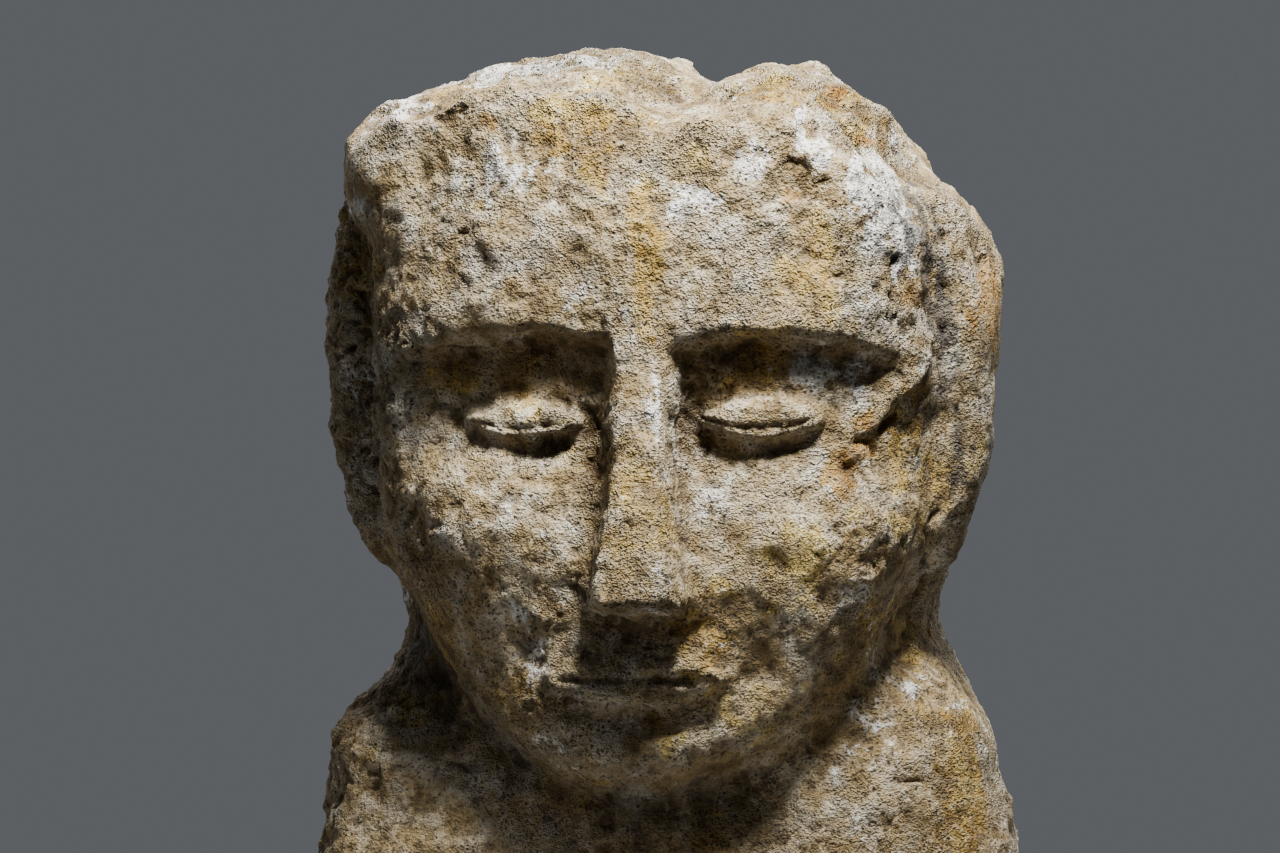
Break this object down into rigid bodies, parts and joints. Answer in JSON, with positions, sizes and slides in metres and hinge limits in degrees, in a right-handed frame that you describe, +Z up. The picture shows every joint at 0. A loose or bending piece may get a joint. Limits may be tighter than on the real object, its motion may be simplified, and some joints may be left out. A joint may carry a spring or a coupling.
{
  "type": "limestone bust",
  "caption": "Weathered limestone bust: broad head with a plain carved face, side rolls of hair and a broken crown, on narrow shoulders cut flat below.",
  "frame": {"origin": "middle of the flat sawn underside, under the middle of the bust's own width and depth", "axes": "+Z up from the underside to the crown, -Y the way the face looks, +X towards the figure's left"},
  "size_m": [0.3072, 0.2754, 0.441],
  "materials": {
    "limestone": "matte"
  },
  "bodies": {
    "root": {"stone_bust": "limestone"}
  },
  "joints": []
}
